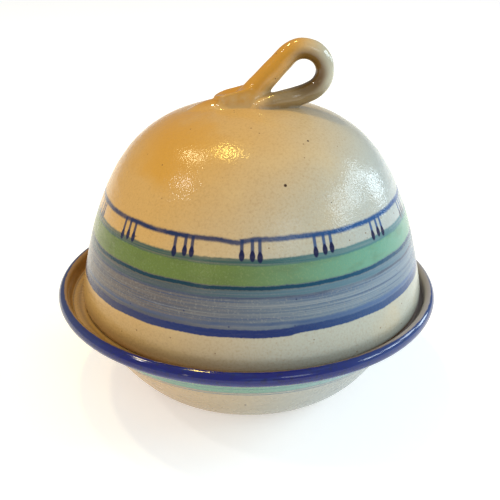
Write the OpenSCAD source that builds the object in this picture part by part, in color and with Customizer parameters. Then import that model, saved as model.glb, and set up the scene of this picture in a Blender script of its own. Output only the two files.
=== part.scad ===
// Butter crock: a shallow footed dish under a tall dome lid with a looped handle.
// Millimetres, +Z up. The origin is on the table, at the centre of the dish's foot.
// The lid rests on a flat seat inside the dish's rim, a little off centre, and lifts off.

/* [Dish] */
// Diameter over the rolled rim
dish_diameter = 170; // [166:0.5:174]
// Height of the middle of the rolled rim
rim_height = 43.5; // [43:0.1:44.5]
// Radius of the rolled rim's outside edge
rim_radius = 3.2; // [2.8:0.1:3.4]
// Height of the flat seat that the lid rests on
seat_height = 40.7; // [40:0.1:41]
// Width of the rolled rim, from its outside edge in to the seat
rim_width = 5.8; // [5.7:0.1:6.2]
// Width of the flat seat
seat_width = 10.6; // [9.5:0.1:11.5]
// Height of the floor inside the well
well_floor_height = 8.4; // [7.5:0.1:9.5]
// Height of the belly's flat underside
belly_height = 2.6; // [2.2:0.1:3.5]
// Outside radius of the foot ring
foot_radius = 42; // [38:0.5:44]
// Width of the foot ring at the table
foot_width = 5; // [4:0.5:8]
// Depth of the turned hollow inside the foot ring
foot_hollow = 2; // [1.5:0.1:2.4]

/* [Lid] */
// Gap between the lid's edge and the rim, all round, with the lid in the middle
lid_clearance = 2.2; // [2.2:0.1:2.8]
// Height of the top of the dome, above the table
lid_top_height = 125.6; // [122:0.2:128]
// Thickness of the dome's wall
lid_wall = 5; // [4:0.1:6]
// Radius of the rounding outside the lower edge
lid_edge_radius = 2.3; // [1.5:0.1:2.8]
// Radius of the rounding inside the lower edge
lid_inner_edge_radius = 1; // [0.5:0.1:1.5]
// How far the lid sits off the dish's centre, towards +X
lid_shift = 2.1; // [0:0.1:2.2]

/* [Handle] */
// Radius of the handle's loop, to the middle of the rod
loop_radius = 9.1; // [8.6:0.1:12]
// Radius of the rod round the loop
rod_radius = 4.1; // [3.6:0.1:5]
// Radius of the rod where the rising arm leaves the root
root_rod_radius = 4.9; // [4.5:0.1:5.5]
// Radius of the rod where the returning arm is pressed down
tail_rod_radius = 2.6; // [2:0.1:3.5]
// Distance of the loop's centre from the dome's axis, towards +X
loop_offset = 21.2; // [16:0.1:24]
// Height of the loop's centre above the top of the dome
loop_rise = 13.8; // [12:0.1:15]
// Slope of the rising arm in degrees
rise_angle = 47; // [40:1:55]
// Slope of the returning arm in degrees
return_angle = 12; // [8:1:16]
// Width of the flattened root
root_width = 12; // [10:0.5:14]
// Length of the flattened root
root_length = 19; // [14:0.5:24]
// Slope of the flattened root in degrees
root_angle = 17; // [12:1:20]

/* [Hidden] */
$fn = 96;
curve_steps = 48;
arc_step = 7.5;
foot_bevel = 0.8;
foot_inner_bevel = 0.5;
foot_fillet = 0.5;
hollow_slope = 1.5;
foot_inner_radius = foot_radius - foot_width;
rim_middle = [dish_diameter / 2 - rim_radius, rim_height];
rim_from = -120;
rim_to = 75;
seat_outer_radius = dish_diameter / 2 - rim_width;
seat_inner_radius = seat_outer_radius - seat_width;
seat_break = 0.6;
lid_radius = seat_outer_radius - lid_clearance;
lid_inner_radius = lid_radius - lid_wall;
loop_middle = [loop_offset, 0, lid_top_height + loop_rise];
rise_length = 24;
return_length = 21;
root_depth = 14;
root_start = [-9.5, 0, lid_top_height + 5.5];
dip_radius = 22;
dip_depth = 1.4;
belly_curve = [rim_middle - [3.8, 5.1], [62.8, 20.8], [57, belly_height], [44, belly_height]];
well_curve = [[seat_inner_radius - 0.8, seat_height - 1.8], [60, 20], [53, well_floor_height],
              [42, well_floor_height]];
rim_inside = [[-0.2, 2.9], [-0.9, 2.1], [-1.4, 0.6]];
seat_step = [[0.9, 1.4], [0.6, 0.5], [0, 0]];
cavity_top = lid_top_height - lid_wall;
dome_curve = [[lid_radius, seat_height + lid_edge_radius], [69.6, 82], [58.6, lid_top_height - 5.9],
              [34, lid_top_height], [0, lid_top_height]];
cavity_curve = [[lid_inner_radius, seat_height + lid_inner_edge_radius], [65.2, 79.6],
                [54.5, cavity_top - 4], [31, cavity_top], [0, cavity_top]];

// One point of the smooth curve that its guide points pull into shape.
function curve_point(guide, t) =
    len(guide) == 1 ? guide[0] :
    curve_point([for (i = [0:len(guide) - 2]) guide[i] * (1 - t) + guide[i + 1] * t], t);

// The whole curve, from its first guide point to its last.
function curve(guide) = [for (i = [0:curve_steps]) curve_point(guide, i / curve_steps)];

// The same curve from its last guide point back to its first.
function curve_back(guide) = [for (i = [curve_steps:-1:0]) curve_point(guide, i / curve_steps)];

// Points round an arc, with angles in degrees from the +X direction, in whole steps.
function arc(middle, radius, from, to) =
    [for (angle = [from:arc_step:to]) middle + radius * [cos(angle), sin(angle)]];

// Half section of the dish, from the hollow under the foot, out round the rim and back.
function dish_section() = concat(
    [[0, foot_hollow],
     [foot_inner_radius - hollow_slope, foot_hollow],
     [foot_inner_radius, foot_inner_bevel],
     [foot_inner_radius + foot_inner_bevel, 0],
     [foot_radius - foot_bevel, 0],
     [foot_radius, foot_bevel],
     [foot_radius + foot_fillet, belly_height - foot_fillet],
     [foot_radius + 2 * foot_fillet, belly_height]],
    curve_back(belly_curve),
    arc(rim_middle, rim_radius, rim_from, rim_to),
    [for (point = rim_inside) rim_middle + point],
    [for (point = seat_step) [seat_outer_radius, seat_height] + point],
    [[seat_inner_radius, seat_height],
     [seat_inner_radius - seat_break, seat_height - seat_break]],
    curve(well_curve),
    [[0, well_floor_height]]);

// Half section of the dome's wall.
function dome_section() = concat(
    arc([lid_radius - lid_edge_radius, seat_height + lid_edge_radius], lid_edge_radius, -90, 0),
    curve(dome_curve),
    curve_back(cavity_curve),
    arc([lid_inner_radius + lid_inner_edge_radius, seat_height + lid_inner_edge_radius],
        lid_inner_edge_radius, 180, 270));

// Shallow dish on a turned foot, with a rolled rim and a seat for the lid.
module dish() {
    color("#c3b99e")
        rotate_extrude()
            polygon(dish_section());
}

// The space that the dome fills, cavity included, used to seat the handle on it.
module dome_outside() {
    rotate_extrude()
        polygon(concat([[0, seat_height]], curve(dome_curve)));
}

// Thrown dome, open underneath.
module lid_dome() {
    color("#c7a368")
        translate([lid_shift, 0, 0])
            rotate_extrude()
                polygon(dome_section());
}

// The turn of the loop between the rising arm and the returning arm.
module handle_loop() {
    translate(loop_middle)
        rotate([90, 0, 0])
            rotate([0, 0, return_angle - 90])
                rotate_extrude(angle = 180 + rise_angle - return_angle)
                    translate([loop_radius, 0])
                        circle(rod_radius);
}

// Arm that rises from the flattened root to the loop.
module rising_arm() {
    translate(loop_middle)
        rotate([0, -rise_angle, 0])
            translate([0, 0, loop_radius])
                rotate([0, -90, 0])
                    cylinder(h = rise_length, r1 = rod_radius, r2 = root_rod_radius);
}

// Arm that comes back under the loop and is pressed onto the dome.
module returning_arm() {
    translate(loop_middle)
        rotate([0, -return_angle, 0])
            translate([0, 0, -loop_radius])
                rotate([0, -90, 0]) {
                    cylinder(h = return_length, r1 = rod_radius, r2 = tail_rod_radius);
                    translate([0, 0, return_length])
                        sphere(tail_rod_radius);
                }
}

// Flattened end of the rod, thumbed down onto the dome, with a shallow dip on top.
module handle_root() {
    translate(root_start)
        rotate([0, -root_angle, 0])
            difference() {
                translate([0, 0, -root_depth])
                    linear_extrude(root_depth) {
                        circle(d = root_width);
                        translate([0, -root_width / 2])
                            square([root_length - root_width, root_width]);
                        translate([root_length - root_width, 0])
                            circle(d = root_width);
                    }
                translate([1, 0, dip_radius - dip_depth])
                    sphere(dip_radius);
            }
}

// Pulled clay loop, cut to the dome's own surface where it is luted on.
module lid_handle() {
    color("#b58a45")
        translate([lid_shift, 0, 0])
            difference() {
                union() {
                    handle_loop();
                    rising_arm();
                    returning_arm();
                    handle_root();
                }
                dome_outside();
            }
}

dish();
lid_dome();
lid_handle();
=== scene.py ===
import math

import bpy
import numpy as np
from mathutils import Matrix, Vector


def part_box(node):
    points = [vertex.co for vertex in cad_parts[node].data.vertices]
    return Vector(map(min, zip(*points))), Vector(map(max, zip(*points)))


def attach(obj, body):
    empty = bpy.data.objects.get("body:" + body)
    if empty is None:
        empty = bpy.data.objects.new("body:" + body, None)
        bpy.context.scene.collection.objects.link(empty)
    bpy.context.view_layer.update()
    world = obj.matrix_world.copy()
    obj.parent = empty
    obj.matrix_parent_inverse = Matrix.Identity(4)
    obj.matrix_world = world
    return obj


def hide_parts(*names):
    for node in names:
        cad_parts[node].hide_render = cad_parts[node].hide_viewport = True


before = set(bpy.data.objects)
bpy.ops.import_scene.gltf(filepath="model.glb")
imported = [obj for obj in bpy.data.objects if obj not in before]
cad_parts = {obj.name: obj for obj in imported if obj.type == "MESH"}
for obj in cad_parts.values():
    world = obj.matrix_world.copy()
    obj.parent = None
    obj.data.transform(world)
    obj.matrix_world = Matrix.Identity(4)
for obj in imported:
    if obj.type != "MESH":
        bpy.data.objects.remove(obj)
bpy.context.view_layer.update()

MM = 0.001
TURN = 2 * math.pi

# ---------------------------------------------------------------------------
# Sizes in millimetres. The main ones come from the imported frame.
# ---------------------------------------------------------------------------
dish_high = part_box("dish")[1] / MM
lid_low, lid_high = (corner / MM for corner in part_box("lid_dome"))
LID_SHIFT = (lid_low.x + lid_high.x) / 2
LID_RADIUS = (lid_high.x - lid_low.x) / 2
LID_TOP = lid_high.z
SEAT_HEIGHT = lid_low.z
RIM_RADIUS = 3.2
RIM_WIDTH = 5.8
SEAT_WIDTH = 10.6
SEAT_BREAK = 0.6
RIM_MIDDLE = (dish_high.x - RIM_RADIUS, dish_high.z - RIM_RADIUS)
SEAT_OUTER = dish_high.x - RIM_WIDTH
SEAT_INNER = SEAT_OUTER - SEAT_WIDTH
WELL_FLOOR = 8.4
BELLY_HEIGHT = 2.6
FOOT_RADIUS = 42.0
FOOT_WIDTH = 5.0
FOOT_INNER = FOOT_RADIUS - FOOT_WIDTH
FOOT_HOLLOW = 2.0
FOOT_BEVEL = 0.8
FOOT_INNER_BEVEL = 0.5
FOOT_FILLET = 0.5
HOLLOW_SLOPE = 1.5
LID_WALL = 5.0
LID_EDGE = 2.3
LID_INNER_EDGE = 1.0
CAVITY_TOP = LID_TOP - LID_WALL

# Guide points that pull the smooth curves into shape, as radius and height
BELLY_CURVE = [(RIM_MIDDLE[0] - 3.8, RIM_MIDDLE[1] - 5.1), (62.8, 20.8), (57, BELLY_HEIGHT),
               (44, BELLY_HEIGHT)]
WELL_CURVE = [(SEAT_INNER - 0.8, SEAT_HEIGHT - 1.8), (60, 20), (53, WELL_FLOOR), (42, WELL_FLOOR)]
DOME_CURVE = [(LID_RADIUS, SEAT_HEIGHT + LID_EDGE), (69.6, 82), (58.6, LID_TOP - 5.9), (34, LID_TOP),
              (0, LID_TOP)]
CAVITY_CURVE = [(LID_RADIUS - LID_WALL, SEAT_HEIGHT + LID_INNER_EDGE), (65.2, 79.6), (54.5, CAVITY_TOP - 4),
                (31, CAVITY_TOP), (0, CAVITY_TOP)]

# The rolled rim: where its arc starts and ends in degrees, then points down its inside to the seat
RIM_ARC = (-120, 75)
RIM_INSIDE = [(-0.2, 2.9), (-0.9, 2.1), (-1.4, 0.6)]
SEAT_STEP = [(0.9, 1.4), (0.6, 0.5), (0, 0)]

# How far the hand-made pot strays from true
RIM_TILT = -0.0088
LID_TILT = 0.006
BELLY_SHIFT = 1.1

# Throwing rings: how far apart and how deep
WELL_RINGS = (6.5, 0.16)
SEAT_RINGS = (5.2, 0.05)
BELLY_RINGS = (9.0, 0.03)
DOME_RINGS = (8.5, 0.03)
CAVITY_RINGS = (7.0, 0.22)
DOME_WAVER = 0.06
EDGE_TURNED_IN = 0.75

# The handle's rod, with x measured from the lid's axis. Shares are of the rod's length.
LOOP_MIDDLE = (21.2, LID_TOP + 13.8)
LOOP_RADIUS = 9.1
LOOP_START = 137
LOOP_END = -62
RISE_START = (-2.0, LID_TOP + 2.3)
TAIL_CURVE = [(25.5, LID_TOP + 5.8), (19.0, LID_TOP + 1.9), (13, LID_TOP + 2.8), (7.5, LID_TOP + 2.7),
              (1.5, LID_TOP + 0.2)]
ROD_STEP = 1.2
ROD_SHARES = (0, 0.4, 0.55, 0.78, 0.9, 1)
ROD_RADII = (5.0, 4.25, 3.85, 4.2, 3.5, 1.6)
RISING_SHARE = 0.3
RETURNING_SHARE = 0.69
TAIL_SIDE = -6.0
TAIL_SIDE_SHARES = (0.74, 0.98)
CROTCH_WEB = 3.2

# The handle's thumbed-down tab and the clay smeared from it
TAB_START = (-10.3, LID_TOP + 5.3)
TAB_SLOPE = math.radians(16)
TAB_LENGTH = 8.0
TAB_HALF_WIDTH = 5.5
TAB_TAPER = 0.12
TAB_ROUNDING = 0.8
DIP_DEPTH = 1.5
DIP_MIDDLE = (2.5, 0.2)
DIP_SIZE = (5.5, 3.0)
SMEAR_MIDDLE = (-15.0, 1.2)
SMEAR_SIZE = (8.0, 4.6)
SMEAR_HEIGHT = 2.6

# How the handle's pieces of clay are blended together and into the dome, with a smaller fillet
# away from the smear, and how far below the dome's surface they are cut off
TAB_BLEND = 1.1
SMEAR_BLEND = 2.6
DOME_BLEND = 4.6
DOME_BLEND_LOSS = 2.0
DOME_SINK = 0.9
CUT_DEPTH = 0.8
HANDLE_WAVER = 0.07

# The grid that the handle's surface is found on: the size of a cell and two opposite corners
HANDLE_CELL = 0.45
HANDLE_LOW = (-28, -11, LID_TOP - 9)
HANDLE_HIGH = (37, 11, LID_TOP + 28)


# ---------------------------------------------------------------------------
# Outlines
# ---------------------------------------------------------------------------
def curve(guide, steps=64):
    """Points of the smooth curve that the guide points pull into shape."""
    t = np.linspace(0, 1, steps)[:, None]
    levels = [np.array(point, float) for point in guide]
    while len(levels) > 1:
        levels = [a * (1 - t) + b * t for a, b in zip(levels, levels[1:])]
    return levels[0]


def arc(middle, radius, start, end, steps=20):
    """Points round an arc, with angles in degrees from the outward direction."""
    angle = np.radians(np.linspace(start, end, steps))
    return np.array(middle) + radius * np.stack([np.cos(angle), np.sin(angle)], 1)


def resample(points, step):
    """The same outline with its points a fixed distance apart."""
    points = np.asarray(points, float)
    gaps = np.linalg.norm(np.diff(points, axis=0), axis=1)
    along = np.concatenate([[0], np.cumsum(gaps)])
    places = np.linspace(0, along[-1], int(along[-1] / step) + 1)
    return np.stack([np.interp(places, along, points[:, i]) for i in (0, 1)], 1)


def dish_outline():
    """Half section of the dish, from under the foot, out round the rim and back into the well."""
    return np.concatenate([
        [(0, FOOT_HOLLOW),
         (FOOT_INNER - HOLLOW_SLOPE, FOOT_HOLLOW),
         (FOOT_INNER, FOOT_INNER_BEVEL),
         (FOOT_INNER + FOOT_INNER_BEVEL, 0),
         (FOOT_RADIUS - FOOT_BEVEL, 0),
         (FOOT_RADIUS, FOOT_BEVEL),
         (FOOT_RADIUS + FOOT_FILLET, BELLY_HEIGHT - FOOT_FILLET)],
        curve(BELLY_CURVE)[::-1],
        arc(RIM_MIDDLE, RIM_RADIUS, *RIM_ARC),
        np.array(RIM_MIDDLE) + RIM_INSIDE,
        np.array((SEAT_OUTER, SEAT_HEIGHT)) + SEAT_STEP,
        [(SEAT_INNER, SEAT_HEIGHT), (SEAT_INNER - SEAT_BREAK, SEAT_HEIGHT - SEAT_BREAK)],
        curve(WELL_CURVE),
        [(0, WELL_FLOOR)]])


def dome_outline():
    """Half section of the dome, from the middle of its ceiling, down round its edge and up outside."""
    inner = LID_RADIUS - LID_WALL + LID_INNER_EDGE
    outer = LID_RADIUS - LID_EDGE
    return np.concatenate([
        curve(CAVITY_CURVE)[::-1],
        arc((inner, SEAT_HEIGHT + LID_INNER_EDGE), LID_INNER_EDGE, 180, 270),
        arc((outer, SEAT_HEIGHT + LID_EDGE), LID_EDGE, -90, 0),
        curve(DOME_CURVE)[1:]])


# ---------------------------------------------------------------------------
# Meshes
# ---------------------------------------------------------------------------
def rise(value, start, end):
    """0 below start, 1 above end, and a smooth step between them."""
    t = np.clip((value - start) / (end - start), 0, 1)
    return t * t * (3 - 2 * t)


def new_object(name, vertices, faces):
    """A smooth-shaded mesh object, placed in the scene."""
    mesh = bpy.data.meshes.new(name)
    mesh.from_pydata(vertices, [], faces)
    mesh.polygons.foreach_set("use_smooth", [True] * len(mesh.polygons))
    mesh.update()
    piece = bpy.data.objects.new(name, mesh)
    bpy.context.scene.collection.objects.link(piece)
    return piece


def lathe(name, outline, relief, stray, segments=288, step=0.9):
    """A thrown wall: an outline turned about the vertical axis.

    relief gives how far the surface stands proud along its normal, and stray moves the
    finished points off true.
    """
    points = resample(outline, step)
    along = np.gradient(points, axis=0)
    normal = np.stack([along[:, 1], -along[:, 0]], 1) / np.linalg.norm(along, axis=1)[:, None]
    theta = np.arange(segments) * TURN / segments
    radius = points[1:-1, 0][:, None]
    height = points[1:-1, 1][:, None]
    outward = normal[1:-1, 0][:, None]
    upward = normal[1:-1, 1][:, None]
    proud = relief(radius, height, outward, theta[None, :])
    radius = radius + proud * outward
    height = height + proud * upward
    x, y, z = stray(radius * np.cos(theta), radius * np.sin(theta), height, radius)
    rings = np.stack([x, y, z], 2).reshape(-1, 3)
    middle_x = x[[0, -1]].mean(1)
    middle_z = z[[0, -1]].mean(1)
    ends = np.stack([middle_x, np.zeros(2), middle_z], 1)
    vertices = np.concatenate([rings, ends]) * MM
    count = len(points) - 2
    here = np.arange(segments)
    then = (here + 1) % segments
    rows = np.arange(count - 1)[:, None] * segments
    quads = np.stack([rows + here, rows + then, rows + segments + then, rows + segments + here], 2)
    first, last = len(rings), len(rings) + 1
    top = (count - 1) * segments
    fans = [(first, int(b), int(a)) for a, b in zip(here, then)]
    fans += [(last, top + int(a), top + int(b)) for a, b in zip(here, then)]
    return new_object(name, vertices.tolist(), quads.reshape(-1, 4).tolist() + fans)


def throwing_rings(height, theta, spacing, depth):
    """The shallow spiral that fingers leave in a turning wall, deeper in some turns than others."""
    turn = TURN * height / spacing + theta
    return depth * (np.sin(turn) * (0.6 + 0.4 * np.sin(height / 7.3)) + 0.35 * np.sin(2.3 * turn + 1))


def dish_relief(radius, height, outward, theta):
    """Rings in the well and on the seat, a faint waver round the belly, a smooth rim."""
    inside = (outward <= 0) & (height > BELLY_HEIGHT + 2) & (radius < SEAT_OUTER)
    well = throwing_rings(radius + height, theta, *WELL_RINGS) * inside
    well = well * (height < SEAT_HEIGHT - 2)
    seat = throwing_rings(radius, theta, *SEAT_RINGS)
    seat = seat * (height > SEAT_HEIGHT - 0.2) * (radius < SEAT_OUTER)
    belly = throwing_rings(height, theta, *BELLY_RINGS) * (outward > 0) * (radius < RIM_MIDDLE[0] - 4)
    belly = belly * rise(height, BELLY_HEIGHT + 0.5, BELLY_HEIGHT + 6)
    return well + seat + belly


def dish_stray(x, y, z, radius):
    """Tips the rim down to the right and sets the belly a little to one side."""
    bead = rise(radius, SEAT_OUTER, RIM_MIDDLE[0]) * rise(z, RIM_MIDDLE[1] - 8, RIM_MIDDLE[1] - 3)
    belly = 1 - rise(z, 4, RIM_MIDDLE[1] - 7)
    past_foot = rise(radius, 30, 40)
    return x + BELLY_SHIFT * belly * past_foot, y, z + RIM_TILT * x * bead


def dome_relief(radius, height, outward, theta):
    """Deep finger rings inside; outside, faint ones, a slow waver and the turned-in lower edge."""
    cavity = curve(CAVITY_CURVE)
    outside = radius > np.interp(height, cavity[:, 1], cavity[:, 0]) + LID_WALL / 2
    rings = throwing_rings(height, theta, *DOME_RINGS) + DOME_WAVER * np.sin(height / 5.2 + 2 * theta)
    rings = rings * rise(height, SEAT_HEIGHT + 6, SEAT_HEIGHT + 12) * rise(radius, 4, 16)
    edge = -EDGE_TURNED_IN * (1 - rise(height, SEAT_HEIGHT + 1.5, SEAT_HEIGHT + 6.5))
    edge = edge * rise(height, SEAT_HEIGHT, SEAT_HEIGHT + 1)
    hollow = throwing_rings(height, theta, *CAVITY_RINGS) * rise(radius, 2, 10)
    hollow = hollow * rise(height, SEAT_HEIGHT + 2, SEAT_HEIGHT + 6)
    return np.where(outside, rings + edge, hollow)


def lid_tilt(x, z):
    """How far the lid's slight lean lifts a point; its seat stays level."""
    return LID_TILT * x * rise(z, SEAT_HEIGHT + 2, SEAT_HEIGHT + 20)


def dome_stray(x, y, z, radius):
    """Leans the dome a little to the left."""
    return x + LID_SHIFT, y, z + lid_tilt(x, z)


# ---------------------------------------------------------------------------
# The handle, as one blended surface
# ---------------------------------------------------------------------------
def smooth_min(a, b, blend):
    """The smaller of two distances, with a fillet where they are close."""
    near = np.maximum(blend - np.abs(a - b), 0)
    return np.minimum(a, b) - near * near / (4 * blend)


def smooth_max(a, b, blend):
    """The larger of two distances, with a rounded edge where they are close."""
    return -smooth_min(-a, -b, blend)


def rod_path():
    """The rod's centreline, whose tail passes in front of its start, with its radius at each point."""
    loop = arc(LOOP_MIDDLE, LOOP_RADIUS, LOOP_START, LOOP_END, 26)
    flat = resample(np.concatenate([[RISE_START], loop, curve(TAIL_CURVE, 24)[1:]]), ROD_STEP)
    share = np.linspace(0, 1, len(flat))
    side = TAIL_SIDE * rise(share, *TAIL_SIDE_SHARES)
    return np.stack([flat[:, 0], side, flat[:, 1]], 1), np.interp(share, ROD_SHARES, ROD_RADII)


def stretch_distance(points, path, radii):
    """Distance to a tapering rod along a path, as the nearest of its short stretches."""
    nearest = np.full(len(points), np.inf)
    for start, end, thick, thin in zip(path, path[1:], radii, radii[1:]):
        along = end - start
        share = np.clip((points - start) @ along / (along @ along), 0, 1)
        gap = points - start - share[:, None] * along
        distance = np.sqrt((gap * gap).sum(1)) - thick - share * (thin - thick)
        nearest = np.minimum(nearest, distance)
    return nearest


def rod_distance(points):
    """Distance to the whole rod, with a web of clay in the crotch where its two arms meet."""
    path, radii = rod_path()
    arm = int(len(path) * RISING_SHARE)
    tail = int(len(path) * RETURNING_SHARE)
    rising = stretch_distance(points, path[:arm + 1], radii[:arm + 1])
    loop = stretch_distance(points, path[arm:tail + 1], radii[arm:tail + 1])
    returning = stretch_distance(points, path[tail:], radii[tail:])
    return np.minimum(loop, smooth_min(rising, returning, CROTCH_WEB))


def tab_distance(points):
    """Distance to the thumbed-down tab: a sloping paddle with round ends and a hollow top."""
    x = points[:, 0] - TAB_START[0]
    z = points[:, 2] - TAB_START[1]
    along = x * math.cos(TAB_SLOPE) + z * math.sin(TAB_SLOPE)
    above = z * math.cos(TAB_SLOPE) - x * math.sin(TAB_SLOPE)
    side = points[:, 1]
    plan = np.hypot(along - np.clip(along, 0, TAB_LENGTH), side) - TAB_HALF_WIDTH
    plan = plan + TAB_TAPER * above
    from_dip = ((along - DIP_MIDDLE[0]) / DIP_SIZE[0], (side - DIP_MIDDLE[1]) / DIP_SIZE[1])
    dip = DIP_DEPTH * np.exp(-from_dip[0] ** 2 - from_dip[1] ** 2)
    return smooth_max(plan, above + dip, TAB_ROUNDING)


def smear_distance(points, dome):
    """Distance to the clay smeared from the tab's end over the dome, as a low mound on it."""
    x = (points[:, 0] - SMEAR_MIDDLE[0]) / SMEAR_SIZE[0]
    y = (points[:, 1] - SMEAR_MIDDLE[1]) / SMEAR_SIZE[1]
    z = dome / SMEAR_HEIGHT
    return (np.sqrt(x * x + y * y + z * z) - 1) * SMEAR_HEIGHT


def dome_distance(points):
    """Distance above the dome's outer surface."""
    profile = curve(DOME_CURVE, 400)[::-1]
    radius = np.hypot(points[:, 0], points[:, 1])
    height = np.interp(radius, profile[:, 0], profile[:, 1])
    slope = np.interp(radius, profile[:, 0], np.gradient(profile[:, 1], profile[:, 0]))
    return (points[:, 2] - height) / np.sqrt(1 + slope * slope)


def handle_distance(points):
    """The whole handle, faired into the dome and cut off just below its surface."""
    dome = dome_distance(points)
    shape = smooth_min(rod_distance(points), tab_distance(points), TAB_BLEND)
    shape = smooth_min(shape, smear_distance(points, dome), SMEAR_BLEND)
    shape = shape + HANDLE_WAVER * np.sin(points[:, 0] * 0.55 + 1) * np.cos(points[:, 2] * 0.45)
    blend = DOME_BLEND - DOME_BLEND_LOSS * rise(points[:, 0], -14, -8)
    faired = smooth_min(shape, dome + DOME_SINK, blend)
    return np.maximum(faired, -CUT_DEPTH - dome)


def polygonise(field, low, high, size):
    """A surface where the field changes sign, with one point in each cell that it crosses."""
    axes = [np.arange(low[i], high[i] + size, size) for i in range(3)]
    grid = np.stack(np.meshgrid(*axes, indexing="ij"), -1)
    values = field(grid.reshape(-1, 3)).reshape(grid.shape[:3])
    inside = values < 0
    cells = tuple(n - 1 for n in inside.shape)
    total = np.zeros(cells + (3,))
    count = np.zeros(cells)
    crossings = []
    for axis in range(3):
        near = [slice(None)] * 3
        far = [slice(None)] * 3
        near[axis] = slice(None, -1)
        far[axis] = slice(1, None)
        near, far = tuple(near), tuple(far)
        crossed = inside[near] != inside[far]
        crossings.append((crossed, inside[near]))
        share = np.where(crossed, values[near] / np.where(crossed, values[near] - values[far], 1), 0)
        place = grid[near].copy()
        place[..., axis] += share * size
        across = [(axis + 1) % 3, (axis + 2) % 3]
        for corner in ((0, 0), (0, 1), (1, 0), (1, 1)):
            window = [slice(None)] * 3
            for other, offset in zip(across, corner):
                window[other] = slice(offset, offset + cells[other])
            window = tuple(window)
            total += place[window] * crossed[window][..., None]
            count += crossed[window]
    used = count > 0
    index = np.full(cells, -1)
    index[used] = np.arange(used.sum())
    vertices = total[used] / count[used][:, None]
    faces = []
    for axis, (crossed, starts_inside) in enumerate(crossings):
        second, third = (axis + 1) % 3, (axis + 2) % 3
        for place in np.argwhere(crossed):
            if not (0 < place[second] < cells[second] and 0 < place[third] < cells[third]):
                continue
            ring = []
            for step_second, step_third in ((1, 1), (0, 1), (0, 0), (1, 0)):
                cell = place.copy()
                cell[second] -= step_second
                cell[third] -= step_third
                ring.append(int(index[tuple(cell)]))
            faces.append(ring if starts_inside[tuple(place)] else ring[::-1])
    return vertices, faces


def settle(field, vertices, size, passes=3, reach=0.04, least_steep=0.2):
    """Moves points straight onto the surface, so that no steps of the grid show."""
    for _ in range(passes):
        value = field(vertices)
        gradient = np.zeros_like(vertices)
        for axis in range(3):
            nudge = np.zeros(3)
            nudge[axis] = reach
            gradient[:, axis] = (field(vertices + nudge) - field(vertices - nudge)) / (2 * reach)
        steep = np.maximum((gradient * gradient).sum(1), least_steep)
        move = -value[:, None] * gradient / steep[:, None]
        vertices = vertices + np.clip(move, -size / 2, size / 2)
    return vertices


def make_handle():
    """The handle's mesh, leaning with the lid."""
    vertices, faces = polygonise(handle_distance, HANDLE_LOW, HANDLE_HIGH, HANDLE_CELL)
    x, y, z = settle(handle_distance, vertices, HANDLE_CELL).T
    placed = np.stack([x + LID_SHIFT, y, z + lid_tilt(x, z)], 1)
    return new_object("lid_handle_pulled", (placed * MM).tolist(), faces)


# ---------------------------------------------------------------------------
# Paint: numbers and colours that vary over a surface
# ---------------------------------------------------------------------------
def srgb(red, green, blue):
    """A colour named as on a screen, in the linear numbers that shaders use."""
    shares = [value / 255 for value in (red, green, blue)]
    return tuple(v / 12.92 if v <= 0.04045 else ((v + 0.055) / 1.055) ** 2.4 for v in shares) + (1,)


class Field:
    """A number that varies over the surface, held by a node's output."""

    def __init__(self, tree, socket):
        self.tree = tree
        self.socket = socket

    def math(self, operation, *others):
        """The result of one of the math node's operations on this number and the others."""
        node = self.tree.nodes.new("ShaderNodeMath")
        node.operation = operation
        for slot, value in zip(node.inputs, (self,) + others):
            feed(self.tree, slot, value)
        return Field(self.tree, node.outputs[0])

    def __add__(self, other):
        return self.math("ADD", other)

    def __sub__(self, other):
        return self.math("SUBTRACT", other)

    def __mul__(self, other):
        return self.math("MULTIPLY", other)

    def __truediv__(self, other):
        return self.math("DIVIDE", other)

    def rise(self, start, end):
        """0 below start, 1 above end, and a smooth step between them."""
        node = self.tree.nodes.new("ShaderNodeMapRange")
        node.interpolation_type = "SMOOTHSTEP"
        feed(self.tree, node.inputs["Value"], self)
        node.inputs["From Min"].default_value = start
        node.inputs["From Max"].default_value = end
        return Field(self.tree, node.outputs["Result"])

    def fall(self, start, end):
        """1 below start, 0 above end."""
        return (self.rise(start, end) * -1) + 1

    def band(self, low, high, soft):
        """1 between low and high, with soft edges."""
        return self.rise(low - soft, low + soft) * self.fall(high - soft, high + soft)

    def capped(self, most=1.0):
        """The same number, held at or below a limit."""
        return self.math("MINIMUM", most)


def feed(tree, slot, value):
    """Links a field to a node's slot, or sets the slot to a plain value."""
    if isinstance(value, Field):
        tree.links.new(value.socket, slot)
    else:
        slot.default_value = value


def diagonal(*sides):
    """The straight distance whose shares along the axes are given."""
    total = sides[0] * sides[0]
    for side in sides[1:]:
        total = total + side * side
    return total.math("SQRT")


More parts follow.
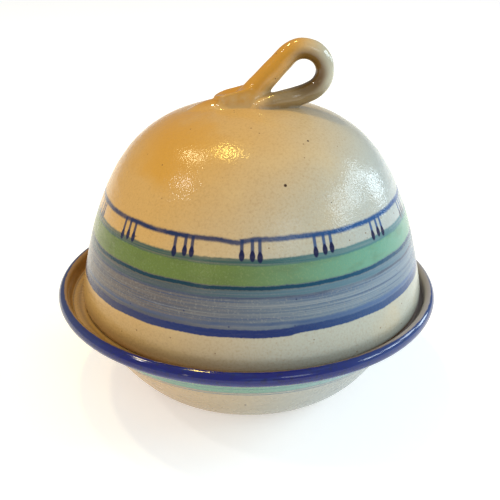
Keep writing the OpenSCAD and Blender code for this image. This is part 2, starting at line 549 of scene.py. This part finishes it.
class Paint:
    """A material in the making, with the surface's places in millimetres round an upright axis."""

    def __init__(self, name, axis_x=0.0):
        self.material = bpy.data.materials.new(name)
        self.material.use_nodes = True
        self.tree = self.material.node_tree
        self.shader = self.tree.nodes["Principled BSDF"]
        coordinates = self.tree.nodes.new("ShaderNodeTexCoord")
        self.x, self.y, self.z = (part * (1 / MM) for part in self.parts(coordinates.outputs["Object"]))
        self.x = self.x - axis_x
        self.radius = diagonal(self.x, self.y)
        self.angle = self.x.math("ARCTAN2", self.y * -1) * (360 / TURN)
        self.facing = self.parts(coordinates.outputs["Normal"])

    def parts(self, socket):
        """The three numbers of a vector."""
        split = self.tree.nodes.new("ShaderNodeSeparateXYZ")
        self.tree.links.new(socket, split.inputs[0])
        return [Field(self.tree, output) for output in split.outputs]

    def vector(self, x, y, z):
        """A vector of three numbers."""
        join = self.tree.nodes.new("ShaderNodeCombineXYZ")
        for slot, value in zip(join.inputs, (x, y, z)):
            feed(self.tree, slot, value)
        return join.outputs[0]

    def outside(self, height):
        """1 where the surface faces away from a point on the axis at this height, 0 where it faces it."""
        out = self.facing[0] * self.x + self.facing[1] * self.y + self.facing[2] * (self.z - height)
        return out.rise(-1, 1)

    def noise(self, length, height, seed, detail):
        """Cloudy noise about 0, with patches so long sideways and so high, in millimetres."""
        node = self.tree.nodes.new("ShaderNodeTexNoise")
        node.inputs["Scale"].default_value = 1.0
        node.inputs["Detail"].default_value = detail
        place = self.vector(self.x * (1 / length) + seed, self.y * (1 / length) + seed, self.z * (1 / height))
        self.tree.links.new(place, node.inputs["Vector"])
        return Field(self.tree, node.outputs[0]) - 0.5

    def specks(self, spacing, size, share, seed):
        """Scattered round dots: a share of the cells of a random packing hold one."""
        node = self.tree.nodes.new("ShaderNodeTexVoronoi")
        node.inputs["Scale"].default_value = 1.0
        place = self.vector(self.x * (1 / spacing) + seed, self.y * (1 / spacing), self.z * (1 / spacing))
        self.tree.links.new(place, node.inputs["Vector"])
        split = self.tree.nodes.new("ShaderNodeSeparateColor")
        self.tree.links.new(node.outputs["Color"], split.inputs[0])
        chosen = Field(self.tree, split.outputs[0]).rise(1 - share, 1 - share + 0.001)
        distance = Field(self.tree, node.outputs["Distance"]) * spacing
        return distance.fall(size * 0.6, size) * chosen

    def spot(self, middle, size):
        """One soft round dot at a place measured from the axis."""
        gaps = [place - value for place, value in zip((self.x, self.y, self.z), middle)]
        return diagonal(*gaps).fall(size * 0.5, size)

    def random(self, number, seed):
        """A random number from 0 to 1 for each whole number."""
        node = self.tree.nodes.new("ShaderNodeTexWhiteNoise")
        node.noise_dimensions = "1D"
        feed(self.tree, node.inputs["W"], number + seed)
        return Field(self.tree, node.outputs["Value"])

    def layer(self, under, colour, amount):
        """One colour laid over another, as thick as amount says."""
        node = self.tree.nodes.new("ShaderNodeMix")
        node.data_type = "RGBA"
        feed(self.tree, node.inputs[0], amount)
        feed(self.tree, node.inputs[6], under)
        feed(self.tree, node.inputs[7], colour)
        return Field(self.tree, node.outputs[2])

    def across(self, left, right, start, end):
        """One colour at the left that turns into another from start to end: painted light, warm from the lamp
        on the left and cool from the window on the right.
        """
        return self.layer(left, right, self.x.rise(start, end))

    def finish(self, colour, roughness, shine, coat, bumps):
        """Joins the colour, gloss and fine relief to the shader."""
        self.shader.inputs["Specular IOR Level"].default_value = shine
        feed(self.tree, self.shader.inputs["Base Color"], colour)
        feed(self.tree, self.shader.inputs["Roughness"], roughness)
        self.shader.inputs["Coat Weight"].default_value = coat
        self.shader.inputs["Coat Roughness"].default_value = COAT_ROUGHNESS
        bump = self.tree.nodes.new("ShaderNodeBump")
        bump.inputs["Distance"].default_value = MM
        bump.inputs["Strength"].default_value = 1.0
        feed(self.tree, bump.inputs["Height"], bumps)
        self.tree.links.new(bump.outputs[0], self.shader.inputs["Normal"])
        self.tree.links.new(bump.outputs[0], self.shader.inputs["Coat Normal"])
        return self.material


# ---------------------------------------------------------------------------
# Colours and places of the painting
# ---------------------------------------------------------------------------
# Colours in warm and cool pairs, and the grey and cool ones that a glaze turns to on the right, are one paint
# under painted light: the warm lamp on the left, the cool window on the right.
CREAM_WARM = srgb(205, 165, 100)
CREAM_GREY = srgb(180, 184, 170)
CREAM_MOTTLE = srgb(150, 112, 62)
CREAM_CLOUD = srgb(218, 190, 134)
DOME_COOL = srgb(176, 194, 204)
DISH_COOL = srgb(154, 170, 174)
DISH_DULL = srgb(90, 76, 56)
HONEY_LIGHT_AND_FLASH = srgb(204, 146, 26)
TAN = srgb(170, 136, 78)
TAN_DARK = srgb(112, 84, 44)
TAN_WINDOW_SHEEN = srgb(184, 176, 174)
IRON = srgb(60, 38, 24)
IRON_FAINT = srgb(110, 72, 38)
BARE_CLAY = srgb(186, 150, 104)

COBALT = srgb(4, 34, 98)
COBALT_COOL = srgb(30, 72, 122)
COBALT_WARM = srgb(52, 52, 78)
COBALT_WORN = srgb(56, 78, 116)
COBALT_WORN_COOL = srgb(64, 98, 144)
WASH_WARM = srgb(78, 80, 90)
WASH_COOL = srgb(100, 126, 148)
WASH_DARK = srgb(66, 78, 114)
WASH_PALE_WARM = srgb(158, 158, 150)
WASH_PALE_COOL = srgb(176, 190, 198)
WASH_GRAIN = srgb(158, 156, 146)
FAINT_LINE = srgb(54, 68, 94)
UNDER_TEAL_WARM = srgb(56, 78, 82)
UNDER_TEAL_COOL = srgb(84, 122, 136)
DARK_TEAL = srgb(0, 50, 66)
DARK_TEAL_COOL = srgb(0, 72, 104)
GREEN_WARM = srgb(92, 116, 50)
GREEN_COOL = srgb(102, 160, 136)
GREEN_DARK = srgb(74, 92, 46)
GREEN_GRAIN = srgb(150, 166, 112)
TEAL = srgb(50, 82, 76)
TEAL_COOL = srgb(68, 120, 128)
BLUE_LINE = srgb(22, 38, 78)
BLUE_LINE_COOL = srgb(26, 80, 138)
BLOB = srgb(0, 10, 62)
BLUE_SPECK = srgb(34, 42, 84)

HONEY = srgb(197, 137, 4)
HONEY_DEEP = srgb(98, 66, 2)
HANDLE_GREY = srgb(176, 176, 156)
HANDLE_FACE = srgb(204, 166, 98)
HANDLE_SHADE = srgb(118, 98, 58)
HANDLE_POOL_AND_SHEEN = srgb(172, 180, 178)

MINT = srgb(80, 142, 118)
MINT_COOL = srgb(118, 160, 172)
MINT_LINE = srgb(34, 84, 104)
RIM_COBALT = srgb(0, 6, 100)
RIM_PALE_AND_SHEEN = srgb(66, 108, 156)
RIM_DARK = srgb(10, 16, 54)
RIM_DULL = srgb(60, 72, 110)
RIM_WORN = srgb(62, 76, 130)
LEDGE_WARM = srgb(212, 174, 108)
LEDGE_COOL = srgb(184, 178, 182)
LEDGE_RING = srgb(104, 78, 44)
EDGE_WARM = srgb(150, 114, 66)
EDGE_COOL = srgb(154, 148, 148)
EDGE_SHADOW = srgb(80, 56, 34)

# Heights of the bands, from and to, before the lid leans. Those of a foot, a head or a bare
# edge are where it starts and ends to fade.
COBALT_FOOT = (55.9, 56.4)
COBALT_HEAD = (58.8, 59.6)
OVERLAP_BAND = (58.5, 61.4)
WORN_BAND = (60.4, 61.7)
WASH_BAND = (58.6, 73.2)
WASH_DARK_BAND = (62.2, 71.0)
WASH_PALE_BAND = (62.5, 72.6)
WASH_GRAIN_BAND = (61.6, 75.0)
BLUE_SPECK_BAND = (57, 75)
FAINT_LINE_BAND = (70.2, 71.1)
UNDER_TEAL_BAND = (71.0, 73.4)
DARK_TEAL_BAND = (73.3, 75.1)
GREEN_BAND = (75.0, 82.6)
TEAL_BAND = (82.2, 84.7)
STROKE_BAND = (85.6, 91.2)
BLOB_HEIGHT = 85.3
BLUE_LINE_BAND = (90.0, 91.7)
MINT_BAND = (29.6, 36.5)
BARE_EDGE = (SEAT_HEIGHT + 0.7, SEAT_HEIGHT + 1.5)
BARE_FOOT = (2.15, 2.4)

# Lines round the mint band: from, to and how strong
MINT_LINES = ((27.4, 28.2, 0.8), (28.9, 29.6, 0.7), (32.6, 33.3, 0.6), (36.0, 38.0, 0.8))

# Angles in degrees, counted from the front to the right: where the cobalt line's second coat
# starts and ends, and how far left of the front the blue line's two ends meet
OVERLAP_START = (10.0, 15.0)
OVERLAP_END = (150, 158)
SEAM_LEFT = 3.7

# Brushed strokes: their groups round the dome, and the strokes' places in a group
TICK_GROUPS = 15
TICK_RADIUS = 65.5
TICK_RIGHT = 0.7
TICK_STRAY = 1.4
TICK_PLACES = (-3.6, 0.2, 3.2)

# The rim's bead: how far from its middle its colour fades out, the cobalt's reach in degrees
# round it, and the radius where the cobalt starts. The paler ledge is the seat's outer part,
# painted lighter to lift the shade on its step.
BEAD_EDGE = (3.7, 4.1)
COBALT_TURN = (-44, 80)
COBALT_START = (80.7, 81.2)
LEDGE_START = (76.0, 79.5)

# The largest iron speck, measured from the lid's axis
BIG_SPECK = (12.5, -50.9, 107.6)
BIG_SPECK_SIZE = 0.8

# The height on the axis that every inner surface faces
AXIS_HEIGHT = SEAT_HEIGHT + 20

# How the dome's top falls away from its middle: a power of the radius
DROP_POWER = 2.45
DROP_RATE = 8.4e-4

# How rough the clear gloss over the handle is
COAT_ROUGHNESS = 0.04


# ---------------------------------------------------------------------------
# Glazes
# ---------------------------------------------------------------------------
def clay_ground(paint, warm, mottled=1.0):
    """Salt-glazed cream slip, mottled like the clay under it, warmer where warm is near 1: painted warm lamp
    light on the left, greyer under painted window light on the right.
    """
    ground = paint.layer(CREAM_GREY, CREAM_WARM, warm)
    mottle = paint.noise(0.9, 0.9, seed=3.1, detail=3) * (0.9 * mottled) + 0.12
    ground = paint.layer(ground, CREAM_MOTTLE, mottle.rise(0.0, 0.9))
    cloud = paint.noise(30, 22, seed=7.7, detail=3).rise(0.0, 0.4)
    return paint.layer(ground, CREAM_CLOUD, cloud * 0.35)


def warm_light_and_flash(paint):
    """How warm the lid looks: painted warm lamp light from the upper left, with some kiln flashing; most at
    the upper left, none low on the right.
    """
    lean = paint.z - paint.x * LID_TILT
    higher = ((lean - 85) * 0.0135).math("MAXIMUM", -0.14)
    return paint.x * -0.0160 + higher + paint.noise(45, 45, seed=5.5, detail=2) * 0.5


def lid_ground(paint):
    """The lid's unpainted glaze, the same on the dome and on the clay luted to it, warmed by painted warm
    lamp light.
    """
    warmth = warm_light_and_flash(paint)
    colour = clay_ground(paint, warmth.rise(-0.6, 0.8))
    # A honey patch at the upper left and a glow where the lid is warm: painted warm lamp light, with some
    # kiln flashing.
    ragged = paint.noise(16, 16, seed=6.6, detail=3) * 16
    patch = (paint.x + ragged).rise(-60, -34) * (paint.x + ragged).fall(-34, 8)
    patch = patch * (paint.z + ragged - paint.x * 0.25).rise(107, 121) * paint.y.fall(0, 35)
    patch = patch * (paint.z + ragged).fall(121, 127)
    glow = warmth.rise(0.1, 1.4) * paint.z.rise(45, 95) * 0.3
    return paint.layer(colour, HONEY_LIGHT_AND_FLASH, patch.math("MAXIMUM", glow) * 0.72)


def liner(paint):
    """The tan glaze that lines the crock inside, in paler and darker turns, with a painted reflection of the
    window greying it on the right.
    """
    rings = (paint.radius * 2.4 + paint.z * 0.8).math("SINE") * 0.5 + 0.5
    streak = paint.noise(40, 1.2, seed=5.2, detail=3)
    colour = paint.layer(TAN, TAN_DARK, rings * 0.5 + streak * 0.8)
    # Painted reflection of the window: greyer on the right.
    return paint.layer(colour, TAN_WINDOW_SHEEN, paint.x.rise(0, 70) * 0.8)


def iron_spots(paint, colour):
    """Sparse iron specks that burn through the glaze."""
    colour = paint.layer(colour, IRON, paint.specks(7.5, 0.62, share=0.14, seed=2.0) * 0.9)
    colour = paint.layer(colour, IRON, paint.spot(BIG_SPECK, BIG_SPECK_SIZE))
    return paint.layer(colour, IRON_FAINT, paint.specks(3.4, 0.42, share=0.16, seed=5.0) * 0.75)


def salt_skin(paint, depth):
    """The orange-peel skin that salt vapour leaves."""
    fine = paint.noise(0.8, 0.8, seed=1.0, detail=1) * 0.12
    return (fine + paint.noise(3.5, 3.5, seed=9.0, detail=1) * 0.12) * depth


def wash_band(paint, colour, height, streak, fine_streak):
    """The wide blue wash with its dark and pale streaks, and a thicker edge under the teal line."""
    wash = height.band(*WASH_BAND, 0.4) * (streak * 0.5 + 0.92).capped()
    # The wash, its pale streaks and the teal edge turn from warm to cool across the dome: painted lamp and
    # window light.
    colour = paint.layer(colour, paint.across(WASH_WARM, WASH_COOL, -45, 60), wash)
    dark = height.band(*WASH_DARK_BAND, 0.5) * streak.rise(-0.02, 0.26)
    colour = paint.layer(colour, WASH_DARK, dark * 0.62)
    pale = height.band(*WASH_PALE_BAND, 0.4) * fine_streak.rise(0.02, 0.26)
    colour = paint.layer(colour, paint.across(WASH_PALE_WARM, WASH_PALE_COOL, 0, 60), pale * 0.5)
    grain = height.band(*WASH_GRAIN_BAND, 0.4) * paint.noise(0.8, 0.8, seed=9.4, detail=3).rise(0.02, 0.22)
    colour = paint.layer(colour, WASH_GRAIN, grain * 0.3)
    under = height.band(*UNDER_TEAL_BAND, 0.4) * (fine_streak * 1.8 + streak * 1.2 + 0.7).capped(0.9)
    colour = paint.layer(colour, paint.across(UNDER_TEAL_WARM, UNDER_TEAL_COOL, -35, 45), under)
    faint = height.band(*FAINT_LINE_BAND, 0.3) * paint.noise(22, 60, seed=1.9, detail=2).rise(-0.35, 0.0)
    return paint.layer(colour, FAINT_LINE, faint * 0.75)


def cobalt_line(paint, colour, height, streak):
    """The cobalt line at the wash's foot, higher where the brush went over it a second time."""
    wear = paint.noise(9, 0.8, seed=3.9, detail=3).rise(-0.3, 0.15) * 0.45 + 0.3
    # The worn cobalt turns warm to cool across the dome: painted lamp and window light.
    worn = paint.across(COBALT_WORN, COBALT_WORN_COOL, 0, 55)
    colour = paint.layer(colour, worn, height.band(*WORN_BAND, 0.45) * wear)
    twice = paint.angle.rise(*OVERLAP_START) * paint.angle.fall(*OVERLAP_END)
    overlap = height.band(*OVERLAP_BAND, 0.5) * twice * (streak + 0.7).capped(0.9)
    colour = paint.layer(colour, worn, overlap)
    line = (height - twice * 0.85).rise(*COBALT_FOOT) * (height - twice * 0.6).fall(*COBALT_HEAD)
    # The line is warmer at the left and cooler at the right: painted lamp and window light.
    deep = paint.across(COBALT, COBALT_COOL, 0, 55)
    deep = paint.layer(deep, COBALT_WARM, paint.x.fall(-66, -25) * 0.75)
    return paint.layer(colour, deep, line * (streak * 0.5 + 1.06).capped())


def green_band(paint, colour, height, streak):
    """The green band, with a teal edge above it and a dark teal line below."""
    # Warm on the left, cool on the right: painted lamp and window light.
    cool = paint.x.rise(-14, 50)
    dark = paint.noise(12, 4, seed=8.2, detail=3).rise(-0.05, 0.3)
    grain = paint.noise(0.8, 0.8, seed=3.2, detail=3).rise(0.0, 0.24)
    green = paint.layer(GREEN_WARM, GREEN_COOL, cool)
    green = paint.layer(green, GREEN_DARK, dark * 0.35)
    green = paint.layer(green, GREEN_GRAIN, grain * 0.22)
    colour = paint.layer(colour, green, height.band(*GREEN_BAND, 0.35) * 0.95)
    teal = height.band(*TEAL_BAND, 0.4) * (streak * 0.8 + 0.88).capped()
    colour = paint.layer(colour, paint.layer(TEAL, TEAL_COOL, cool), teal)
    dark_teal = paint.layer(DARK_TEAL, DARK_TEAL_COOL, cool)
    return paint.layer(colour, dark_teal, height.band(*DARK_TEAL_BAND, 0.45))


def blue_line(paint, height):
    """The thin line above the strokes, whose two ends pass each other near the front."""
    seam = paint.angle + SEAM_LEFT
    start = (height + seam.rise(-9, 0) * 0.8).band(*BLUE_LINE_BAND, 0.5) * seam.fall(-0.4, 1.4)
    sagging = height + seam.fall(0, 5) * 0.8 - seam.fall(5, 36) * 0.4
    end = sagging.band(*BLUE_LINE_BAND, 0.5) * seam.rise(-1.4, 0.6)
    patchy = (paint.noise(11, 3.0, seed=7.1, detail=3) * 0.7 + 0.98).capped()
    return start.math("MAXIMUM", end) * patchy


def tick_marks(paint, height):
    """Groups of three brushed strokes, each with a blob at its foot: the strokes, then the blobs."""
    apart = 360 / TICK_GROUPS
    group = (paint.angle / apart).math("ROUND")
    side = (paint.angle - group * apart) * (TURN / 360 * TICK_RADIUS)
    side = side - TICK_RIGHT + (paint.random(group, 3.3) - 0.5) * TICK_STRAY
    strokes = None
    blobs = None
    for number, offset in enumerate(TICK_PLACES):
        aside = paint.random(group * len(TICK_PLACES) + number, 11.1)
        lower = paint.random(group * len(TICK_PLACES) + number, 27.9)
        across = (side - (aside - 0.5) * 0.8 - offset).math("ABSOLUTE")
        stroke = across.fall(0.4, 0.95) * height.band(*STROKE_BAND, 0.3)
        up = height + (lower - 0.5) * 0.9 - BLOB_HEIGHT
        width = across * 0.88 + up.math("MAXIMUM", 0.0) * 0.1
        blob = ((width * width) + (up * up) * 0.22).math("SQRT").fall(0.75, 1.12)
        strokes = stroke if strokes is None else strokes.math("MAXIMUM", stroke)
        blobs = blob if blobs is None else blobs.math("MAXIMUM", blob)
    return strokes, blobs


def dome_glaze():
    """The dome's glaze, from its painted outside to the tan liner and the bare edge it stands on."""
    paint = Paint("dome_glaze", LID_SHIFT)
    lean = paint.z - paint.x * LID_TILT
    waver = paint.noise(16, 40, seed=4.4, detail=1) * 0.9
    bleed = paint.noise(1.4, 1.4, seed=6.1, detail=2) * 0.55
    height = lean + waver + bleed
    streak = paint.noise(38, 0.75, seed=2.2, detail=3)
    fine_streak = paint.noise(60, 0.34, seed=8.8, detail=2)

    # Painted cool window light on the dome's upper right.
    cool = paint.x.rise(18, 68) * paint.z.rise(46, 90)
    colour = paint.layer(lid_ground(paint), DOME_COOL, cool * 0.45)
    colour = iron_spots(paint, colour)
    colour = wash_band(paint, colour, height, streak, fine_streak)
    colour = cobalt_line(paint, colour, height, streak)
    colour = green_band(paint, colour, height, streak)
    # The blue turns from warm to cool across the dome: painted lamp and window light.
    blue = paint.across(BLUE_LINE, BLUE_LINE_COOL, -20, 50)
    colour = paint.layer(colour, blue, blue_line(paint, height))
    strokes, blobs = tick_marks(paint, lean)
    colour = paint.layer(colour, blue, strokes * 0.9)
    colour = paint.layer(colour, BLOB, blobs * 0.97)
    specks = paint.specks(4.2, 0.5, share=0.2, seed=8.0) * height.band(*BLUE_SPECK_BAND, 0.5)
    colour = paint.layer(colour, BLUE_SPECK, specks * 0.7)
    colour = paint.layer(liner(paint), colour, paint.outside(AXIS_HEIGHT))
    bare = lean.fall(*BARE_EDGE)
    colour = paint.layer(colour, BARE_CLAY, bare)
    roughness = paint.noise(6, 6, seed=12.0, detail=2) * 0.14 + 0.18 + bare * 0.4
    return paint.finish(colour, roughness, shine=0.34, coat=0.0, bumps=salt_skin(paint, 0.85))


def handle_glaze():
    """The handle's glaze: honey on the rising arm, partly painted warm lamp light; grey to the right, painted
    window light; brown inside.
    """
    paint = Paint("handle_glaze", LID_SHIFT)
    from_middle = paint.x - LOOP_MIDDLE[0]
    above_middle = paint.z - LOOP_MIDDLE[1]
    reach = diagonal(from_middle, above_middle)
    dome_drop = paint.radius.math("POWER", DROP_POWER) * DROP_RATE
    above_dome = paint.z - paint.x * LID_TILT - LID_TOP + dome_drop
    patchy = paint.noise(9, 9, seed=1.1, detail=2)
    slope = math.radians(LOOP_START - 90)
    arm_side = above_middle * math.cos(slope) - from_middle * math.sin(slope) - LOOP_RADIUS

    colour = lid_ground(paint)
    # Honey on the rising arm: partly the glaze's own tone, partly painted warm lamp light.
    honey = (arm_side + patchy * 3.0).rise(-3.6, 1.0) * (paint.x + patchy * 6).fall(13, 27)
    honey = honey * above_dome.rise(0.1, 3.0)
    colour = paint.layer(colour, HONEY, honey * 0.92)
    # Grey on the right: painted cool window light.
    grey = (paint.x + patchy * 6).rise(20, 31) * above_dome.rise(1, 5)
    colour = paint.layer(colour, HANDLE_GREY, grey * 0.85)
    face = (paint.y + patchy).fall(-4.9, -3.9) * paint.x.band(-14.5, 3, 1.5) * above_dome.fall(4, 8)
    face = face * (paint.noise(2.5, 2.5, seed=4.6, detail=3) * 1.6 + 0.6)
    colour = paint.layer(colour, HANDLE_FACE, face)
    inner = (reach + patchy * 1.5).fall(LOOP_RADIUS - 1.8, LOOP_RADIUS + 2.0) * paint.x.rise(12, 22)
    colour = paint.layer(colour, HONEY_DEEP, inner * 0.95)
    under = (paint.z + patchy * 2).fall(LOOP_MIDDLE[1] - 9.5, LOOP_MIDDLE[1] - 3) * paint.x.rise(3, 9)
    colour = paint.layer(colour, HANDLE_SHADE, under * 0.7)
    # Pale grey-blue where the handle meets the dome: pooled glaze with a painted reflection.
    pool_and_sheen = above_dome.fall(0.5, 1.8) * paint.x.band(4, 24, 2)
    colour = paint.layer(colour, HANDLE_POOL_AND_SHEEN, pool_and_sheen * (patchy * 2 + 0.5).rise(0.1, 0.9) * 0.6)
    colour = iron_spots(paint, colour)
    roughness = patchy * 0.1 + 0.13
    return paint.finish(colour, roughness, shine=0.45, coat=0.2, bumps=salt_skin(paint, 0.3))


def mint_band(paint, colour, height):
    """The mint band round the belly, with thin blue lines on and beside it."""
    streak = paint.noise(40, 0.5, seed=5.2, detail=3)
    mint = height.band(*MINT_BAND, 0.3) * (streak * 0.5 + 0.9).capped()
    # Warm on the left, cool on the right: painted lamp and window light.
    colour = paint.layer(colour, paint.across(MINT, MINT_COOL, 0, 60), mint)
    for low, high, strength in MINT_LINES:
        colour = paint.layer(colour, MINT_LINE, height.band(low, high, 0.2) * strength)
    return colour


def dish_inside(paint):
    """The liner in the well, turning to a paler, ringed ledge towards the rim, painted lighter to lift the
    shade on the seat's step.
    """
    # Warm to cool across the crock: painted lamp and window light.
    ledge = paint.across(LEDGE_WARM, LEDGE_COOL, 0, 60)
    rings = (paint.radius * 3.6).math("SINE").rise(0.2, 1.0)
    ledge = paint.layer(ledge, LEDGE_RING, rings * 0.6)
    # Painted light: the paler ledge lifts the shade on the step near the rim.
    return paint.layer(liner(paint), ledge, paint.radius.rise(*LEDGE_START) * 0.55)


def rim_paint(paint, colour):
    """The rim's cobalt over its clay edge. Gives the colour and where the rim's bead is."""
    out = paint.radius - RIM_MIDDLE[0]
    up = (paint.z - paint.x * RIM_TILT) - RIM_MIDDLE[1]
    bead = diagonal(out, up).fall(*BEAD_EDGE)
    turn = up.math("ARCTAN2", out) * (360 / TURN)
    turn = turn + paint.noise(3, 3, seed=8.4, detail=3) * 14
    # The clay edge turns from warm to cool as painted lamp and window light, and darkens at the front as a
    # painted shadow where it faces the lid.
    edge = paint.across(EDGE_WARM, EDGE_COOL, 10, 60)
    edge = paint.layer(edge, EDGE_SHADOW, paint.y.fall(-74, -50))
    colour = paint.layer(colour, edge, bead * 0.9)

    streaks = paint.noise(14, 0.9, seed=2.7, detail=3).rise(0.0, 0.3)
    dark = paint.noise(1.6, 1.6, seed=6.3, detail=3).rise(-0.02, 0.25)
    worn = turn.fall(-24, 6) * paint.noise(16, 16, seed=5.9, detail=2).rise(-0.2, 0.2) * paint.x.fall(-20, 20)
    cobalt = paint.layer(RIM_COBALT, RIM_PALE_AND_SHEEN, streaks * 0.2)
    cobalt = paint.layer(cobalt, RIM_DARK, dark * 0.7)
    # Duller on the left: painted warm lamp light, with some wear.
    cobalt = paint.layer(cobalt, RIM_DULL, paint.x.fall(-82, -40) * 0.6)
    # Paler on the right: a painted reflection of the window.
    cobalt = paint.layer(cobalt, RIM_PALE_AND_SHEEN, paint.x.rise(10, 75) * 0.3)
    cobalt = paint.layer(cobalt, RIM_WORN, worn * 0.55)
    painted = bead * (turn + paint.x.rise(30, 80) * 18).band(*COBALT_TURN, 5)
    return paint.layer(colour, cobalt, painted * paint.radius.rise(*COBALT_START)), bead


def dish_glaze():
    """The dish's glaze, from its painted belly over the cobalt rim to the liner and the bare foot."""
    paint = Paint("dish_glaze")
    level = paint.z - paint.x * RIM_TILT * 0.7
    waver = paint.noise(18, 40, seed=4.1, detail=1) * 0.8
    height = level + waver + paint.noise(1.4, 1.4, seed=2.1, detail=2) * 0.3
    # Painted light: warmer on the left under the warm lamp, with some random tone, and cooler on the right
    # under the window.
    warm = (paint.x * -0.016 + paint.noise(40, 30, seed=3.5, detail=2) * 0.4).rise(-0.7, 0.9)
    colour = paint.layer(clay_ground(paint, warm, 0.25), DISH_COOL, paint.x.rise(-20, 70) * 0.6)
    colour = paint.layer(colour, DISH_DULL, 0.2)
    colour = iron_spots(paint, colour)
    colour = mint_band(paint, colour, height)
    colour = paint.layer(dish_inside(paint), colour, paint.outside(AXIS_HEIGHT))
    colour, bead = rim_paint(paint, colour)
    bare = paint.z.fall(*BARE_FOOT)
    colour = paint.layer(colour, BARE_CLAY, bare)
    roughness = paint.noise(6, 6, seed=12.0, detail=2) * 0.12 + 0.27 + bare * 0.4 - bead * 0.18
    return paint.finish(colour, roughness, shine=0.5, coat=0.0, bumps=salt_skin(paint, bead * 0.06 + 0.06))


# ---------------------------------------------------------------------------
# The crock
# ---------------------------------------------------------------------------
dish = lathe("dish_thrown", dish_outline(), dish_relief, dish_stray)
dish.data.materials.append(dish_glaze())
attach(dish, "dish")
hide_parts("dish")

dome = lathe("lid_dome_thrown", dome_outline(), dome_relief, dome_stray)
dome.data.materials.append(dome_glaze())
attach(dome, "lid")
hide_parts("lid_dome")

handle = make_handle()
handle.data.materials.append(handle_glaze())
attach(handle, "lid")
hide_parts("lid_handle")

# ---------------------------------------------------------------------------
# Stage, in metres
# ---------------------------------------------------------------------------
FLOOR_REACH = 30.0
FLOOR_WHITE = (0.93, 0.93, 0.93, 1)
FLOOR_GLOW = 0.37
FLOOR_ROUGHNESS = 0.9
FLOOR_SHINE = 0.1

# Lamps: name, direction from the crock, distance, size, power, colour
LIT_POINT = (0, 0, 0.1)
WINDOW_BLUE = (0.74, 0.89, 1.0)
LAMPS = [
    ("warm_top", (-0.206, 0.175, 0.963), 1.3, 0.10, 5.2, (1.0, 0.72, 0.16)),
    ("warm_left", (-0.499, 0.201, 0.843), 1.3, 0.08, 2.8, (1.0, 0.82, 0.46)),
    ("pale_left", (-0.68, -0.166, 0.714), 1.3, 0.06, 1.4, (1.0, 0.95, 0.88)),
    ("lamp_front", (-0.52, -0.84, 0.16), 1.3, 0.05, 0.2, (1.0, 0.88, 0.62)),
    ("window_low", (0.42, -0.78, 0.43), 1.4, 0.36, 1.3, (0.84, 0.92, 1.0)),
]

# Panes of the window on the right: degrees round from +X and up from level
PANES = [(-14, 25), (3, 25), (20, 25), (28, 11)]
PANE_DISTANCE = 1.4
PANE_SIZE = 0.28
PANE_POWER = 2.5

# Camera: the lens in millimetres, and how far it looks down in degrees
SENSOR_WIDTH = 36
LENS = 56.2032
CAMERA_PLACE = (0.0015, -0.3238, 0.2053)
CAMERA_DOWN = 24.42

# The sky's strength before and behind the crock
SKY_COLOUR = (0.93, 0.96, 1.0, 1)
SKY_FRONT = 0.64
SKY_BEHIND = 0.34


def make_floor():
    """A plain pale floor that lights up its own shadows a little."""
    reach = FLOOR_REACH
    corners = [(-reach, -reach, 0), (reach, -reach, 0), (reach, reach, 0), (-reach, reach, 0)]
    floor = new_object("floor", corners, [(0, 1, 2, 3)])
    material = bpy.data.materials.new("pale_floor")
    material.use_nodes = True
    shader = material.node_tree.nodes["Principled BSDF"]
    shader.inputs["Base Color"].default_value = FLOOR_WHITE
    shader.inputs["Roughness"].default_value = FLOOR_ROUGHNESS
    shader.inputs["Specular IOR Level"].default_value = FLOOR_SHINE
    shader.inputs["Emission Color"].default_value = (1, 1, 1, 1)
    shader.inputs["Emission Strength"].default_value = FLOOR_GLOW
    floor.data.materials.append(material)


def make_light(name, direction, distance, size, power, colour):
    """A soft square light that faces the crock from so far off."""
    data = bpy.data.lights.new(name, "AREA")
    data.size = size
    data.energy = power
    data.color = colour
    light = bpy.data.objects.new(name, data)
    toward = Vector(direction).normalized()
    light.location = toward * distance + Vector(LIT_POINT)
    light.rotation_euler = toward.to_track_quat("Z", "Y").to_euler()
    bpy.context.scene.collection.objects.link(light)


def make_window():
    """The panes of the window that is mirrored in the dome's right side."""
    for number, (azimuth, elevation) in enumerate(PANES):
        around, above = math.radians(azimuth), math.radians(elevation)
        level = math.cos(above)
        direction = (math.cos(around) * level, math.sin(around) * level, math.sin(above))
        make_light(f"window_{number}", direction, PANE_DISTANCE, PANE_SIZE, PANE_POWER, WINDOW_BLUE)


def make_camera():
    """The photo's own view."""
    data = bpy.data.cameras.new("camera")
    data.sensor_width = SENSOR_WIDTH
    data.lens = LENS
    camera = bpy.data.objects.new("camera", data)
    camera.location = CAMERA_PLACE
    camera.rotation_euler = (math.radians(90 - CAMERA_DOWN), 0, 0)
    bpy.context.scene.collection.objects.link(camera)
    bpy.context.scene.camera = camera


def make_world():
    """Soft light from all round, dimmer behind the crock."""
    world = bpy.data.worlds.new("world")
    world.use_nodes = True
    sky = world.node_tree.nodes["Background"]
    sky.inputs["Color"].default_value = SKY_COLOUR
    toward = world.node_tree.nodes.new("ShaderNodeTexCoord")
    split = world.node_tree.nodes.new("ShaderNodeSeparateXYZ")
    world.node_tree.links.new(toward.outputs["Generated"], split.inputs[0])
    behind = Field(world.node_tree, split.outputs["Y"]).rise(-0.1, 0.8)
    feed(world.node_tree, sky.inputs["Strength"], behind * (SKY_BEHIND - SKY_FRONT) + SKY_FRONT)
    bpy.context.scene.world = world


make_floor()
for lamp in LAMPS:
    make_light(*lamp)
make_window()
make_camera()
make_world()
bpy.context.scene.view_settings.view_transform = "Standard"
